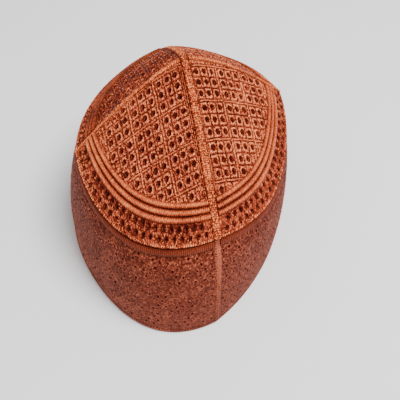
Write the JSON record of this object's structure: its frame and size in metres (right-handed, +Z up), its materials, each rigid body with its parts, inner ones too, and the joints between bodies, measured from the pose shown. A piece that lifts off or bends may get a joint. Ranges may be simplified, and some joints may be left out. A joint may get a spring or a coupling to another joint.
{
  "type": "prayer cap",
  "caption": "Brimless prayer cap in copper-coloured thread, with a pierced low crown in quarters, satin cords round its foot and a tall side band, hollow and open below.",
  "frame": {"origin": "on the floor under the middle of the cap's box", "axes": "+Z up to the top, -Y to the front foot of the long crown seam, +X to the wearer's left side ridge"},
  "size_m": [0.172, 0.1998, 0.1358],
  "materials": {
    "crown_cloth": "satin thread over cloth",
    "satin_cord": "satin stitch",
    "seam_knit": "knitted thread",
    "edge_binding": "ribbed thread",
    "band_cloth": "matt thread mesh",
    "band_seam": "thread over cloth",
    "rim_hem": "matt thread"
  },
  "bodies": {
    "root": {"crown_gore_front_right": "crown_cloth", "base_cord_front_right_1": "satin_cord", "base_cord_front_right_2": "satin_cord", "base_cord_front_right_3": "satin_cord", "edge_binding_front_right": "edge_binding", "crown_gore_front_left": "crown_cloth", "base_cord_front_left_1": "satin_cord", "base_cord_front_left_2": "satin_cord", "base_cord_front_left_3": "satin_cord", "edge_binding_front_left": "edge_binding", "crown_gore_back_right": "crown_cloth", "base_cord_back_right_1": "satin_cord", "base_cord_back_right_2": "satin_cord", "base_cord_back_right_3": "satin_cord", "edge_binding_back_right": "edge_binding", "crown_gore_back_left": "crown_cloth", "base_cord_back_left_1": "satin_cord", "base_cord_back_left_2": "satin_cord", "base_cord_back_left_3": "satin_cord", "edge_binding_back_left": "edge_binding", "crown_seam_long": "seam_knit", "crown_ridge_right": "seam_knit", "crown_ridge_left": "seam_knit", "side_band_right": "band_cloth", "side_band_left": "band_cloth", "band_seam_front": "band_seam", "band_seam_back": "band_seam", "rim_hem": "rim_hem"}
  },
  "joints": []
}
